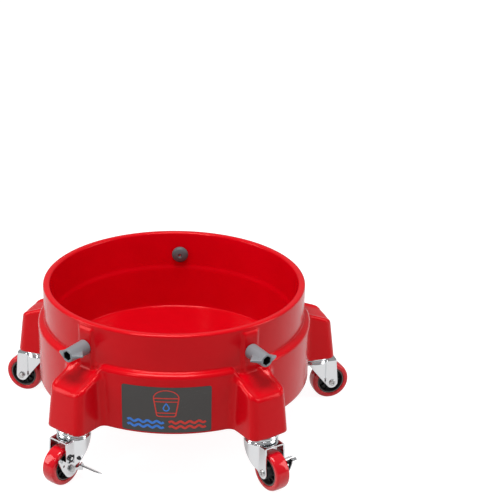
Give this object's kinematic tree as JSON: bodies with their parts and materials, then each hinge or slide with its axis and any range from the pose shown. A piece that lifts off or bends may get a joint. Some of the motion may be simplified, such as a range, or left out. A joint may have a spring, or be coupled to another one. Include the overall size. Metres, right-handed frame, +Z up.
{
  "type": "bucket dolly",
  "caption": "Round rolling base for a wash bucket: a moulded tray with hollow leg pods on swivel casters, front brakes and winged clamp screws.",
  "frame": {"origin": "centre of the top of the tray's floor, where the bucket stands", "axes": "+Z up along the tray's axis; -Y towards the label between the two braked front casters"},
  "size_m": [0.462, 0.4442, 0.1952],
  "materials": {
    "moulded_red": "satin gloss moulding",
    "label_print": "glossy laminated print",
    "socket_steel": "plain turned",
    "bush_brass": "turned",
    "chrome_plate": "bright plated stampings",
    "ball_steel": "polished",
    "hub_black": "moulded nylon",
    "tread_red": "glossy cast polyurethane",
    "spring_dark": "oiled spring steel",
    "knob_grey": "moulded",
    "foot_grey": "soft moulded"
  },
  "bodies": {
    "root": {"dolly_body": "moulded_red", "front_label": "label_print", "stem_sockets": "socket_steel", "clamp_inserts": "bush_brass", "caster_1_stem": "chrome_plate", "caster_2_stem": "chrome_plate", "caster_3_stem": "chrome_plate", "caster_4_stem": "chrome_plate", "caster_5_stem": "chrome_plate"},
    "swivel_1": {"caster_1_fork": "chrome_plate", "caster_1_balls": "ball_steel", "caster_1_axle": "chrome_plate", "caster_1_nut": "chrome_plate", "caster_1_sleeve": "socket_steel", "brake_1_spring": "spring_dark", "brake_1_rivet": "spring_dark"},
    "wheel_1": {"caster_1_hub": "hub_black", "caster_1_tread": "tread_red"},
    "swivel_2": {"caster_2_fork": "chrome_plate", "caster_2_balls": "ball_steel", "caster_2_axle": "chrome_plate", "caster_2_nut": "chrome_plate", "caster_2_sleeve": "socket_steel", "brake_2_spring": "spring_dark", "brake_2_rivet": "spring_dark"},
    "wheel_2": {"caster_2_hub": "hub_black", "caster_2_tread": "tread_red"},
    "swivel_3": {"caster_3_fork": "chrome_plate", "caster_3_balls": "ball_steel", "caster_3_axle": "chrome_plate", "caster_3_nut": "chrome_plate", "caster_3_sleeve": "socket_steel"},
    "wheel_3": {"caster_3_hub": "hub_black", "caster_3_tread": "tread_red"},
    "swivel_4": {"caster_4_fork": "chrome_plate", "caster_4_balls": "ball_steel", "caster_4_axle": "chrome_plate", "caster_4_nut": "chrome_plate", "caster_4_sleeve": "socket_steel"},
    "wheel_4": {"caster_4_hub": "hub_black", "caster_4_tread": "tread_red"},
    "swivel_5": {"caster_5_fork": "chrome_plate", "caster_5_balls": "ball_steel", "caster_5_axle": "chrome_plate", "caster_5_nut": "chrome_plate", "caster_5_sleeve": "socket_steel"},
    "wheel_5": {"caster_5_hub": "hub_black", "caster_5_tread": "tread_red"},
    "brake_1": {"brake_1_lever": "chrome_plate"},
    "brake_2": {"brake_2_lever": "chrome_plate"},
    "clamp_1_slide": {"clamp_1_foot": "foot_grey"},
    "clamp_1_turn": {"clamp_1_knob": "knob_grey", "clamp_1_screw": "chrome_plate"},
    "clamp_2_slide": {"clamp_2_foot": "foot_grey"},
    "clamp_2_turn": {"clamp_2_knob": "knob_grey", "clamp_2_screw": "chrome_plate"},
    "clamp_3_slide": {"clamp_3_foot": "foot_grey"},
    "clamp_3_turn": {"clamp_3_knob": "knob_grey", "clamp_3_screw": "chrome_plate"}
  },
  "joints": [
    {"name": "swivel_1_turn", "type": "hinge", "parent": "root", "child": "swivel_1", "pos_m": [-0.11285, -0.15533, -0.0296], "axis": [0, 0, 1], "continuous": true},
    {"name": "wheel_1_spin", "type": "hinge", "parent": "swivel_1", "child": "wheel_1", "pos_m": [-0.12667, -0.17434, -0.0636], "axis": [0.809, -0.5878, 0], "continuous": true},
    {"name": "swivel_2_turn", "type": "hinge", "parent": "root", "child": "swivel_2", "pos_m": [0.11285, -0.15533, -0.0296], "axis": [0, 0, 1], "continuous": true},
    {"name": "wheel_2_spin", "type": "hinge", "parent": "swivel_2", "child": "wheel_2", "pos_m": [0.12667, -0.17434, -0.0636], "axis": [0.809, 0.5878, 0], "continuous": true},
    {"name": "swivel_3_turn", "type": "hinge", "parent": "root", "child": "swivel_3", "pos_m": [0.1826, 0.05933, -0.0296], "axis": [0, 0, 1], "continuous": true},
    {"name": "wheel_3_spin", "type": "hinge", "parent": "swivel_3", "child": "wheel_3", "pos_m": [0.20495, 0.06659, -0.0636], "axis": [-0.309, 0.9511, 0], "continuous": true},
    {"name": "swivel_4_turn", "type": "hinge", "parent": "root", "child": "swivel_4", "pos_m": [0, 0.192, -0.0296], "axis": [0, 0, 1], "continuous": true},
    {"name": "wheel_4_spin", "type": "hinge", "parent": "swivel_4", "child": "wheel_4", "pos_m": [0, 0.2155, -0.0636], "axis": [-1, 0, 0], "continuous": true},
    {"name": "swivel_5_turn", "type": "hinge", "parent": "root", "child": "swivel_5", "pos_m": [-0.1826, 0.05933, -0.0296], "axis": [0, 0, 1], "continuous": true},
    {"name": "wheel_5_spin", "type": "hinge", "parent": "swivel_5", "child": "wheel_5", "pos_m": [-0.20495, 0.06659, -0.0636], "axis": [-0.309, -0.9511, 0], "continuous": true},
    {"name": "brake_1_press", "type": "hinge", "parent": "swivel_1", "child": "brake_1", "pos_m": [-0.12667, -0.17434, -0.0636], "axis": [-0.809, 0.5878, 0], "range_deg": [0, 18]},
    {"name": "brake_2_press", "type": "hinge", "parent": "swivel_2", "child": "brake_2", "pos_m": [0.12667, -0.17434, -0.0636], "axis": [-0.809, -0.5878, 0], "range_deg": [0, 18]},
    {"name": "clamp_1_travel", "type": "slide", "parent": "root", "child": "clamp_1_slide", "axis": [-0.5878, -0.809, 0], "range_m": [0, 0.016]},
    {"name": "clamp_1_screw_turn", "type": "hinge", "parent": "clamp_1_slide", "child": "clamp_1_turn", "pos_m": [-0.08817, -0.12135, 0.0754], "axis": [-0.5878, -0.809, 0], "range_deg": [0, 5760]},
    {"name": "clamp_2_travel", "type": "slide", "parent": "root", "child": "clamp_2_slide", "axis": [0.5878, -0.809, 0], "range_m": [0, 0.016]},
    {"name": "clamp_2_screw_turn", "type": "hinge", "parent": "clamp_2_slide", "child": "clamp_2_turn", "pos_m": [0.08817, -0.12135, 0.0754], "axis": [0.5878, -0.809, 0], "range_deg": [0, 5760]},
    {"name": "clamp_3_travel", "type": "slide", "parent": "root", "child": "clamp_3_slide", "axis": [0, 1, 0], "range_m": [-0.016, 0]},
    {"name": "clamp_3_screw_turn", "type": "hinge", "parent": "clamp_3_slide", "child": "clamp_3_turn", "pos_m": [0, 0.15, 0.0754], "axis": [0, 1, 0], "range_deg": [-5760, 0]}
  ],
  "couplings": [
    {"joint": "clamp_1_travel", "follows": "clamp_1_screw_turn", "m_per_rad": 0.00015915},
    {"joint": "clamp_2_travel", "follows": "clamp_2_screw_turn", "m_per_rad": 0.00015915},
    {"joint": "clamp_3_travel", "follows": "clamp_3_screw_turn", "m_per_rad": 0.00015915}
  ]
}
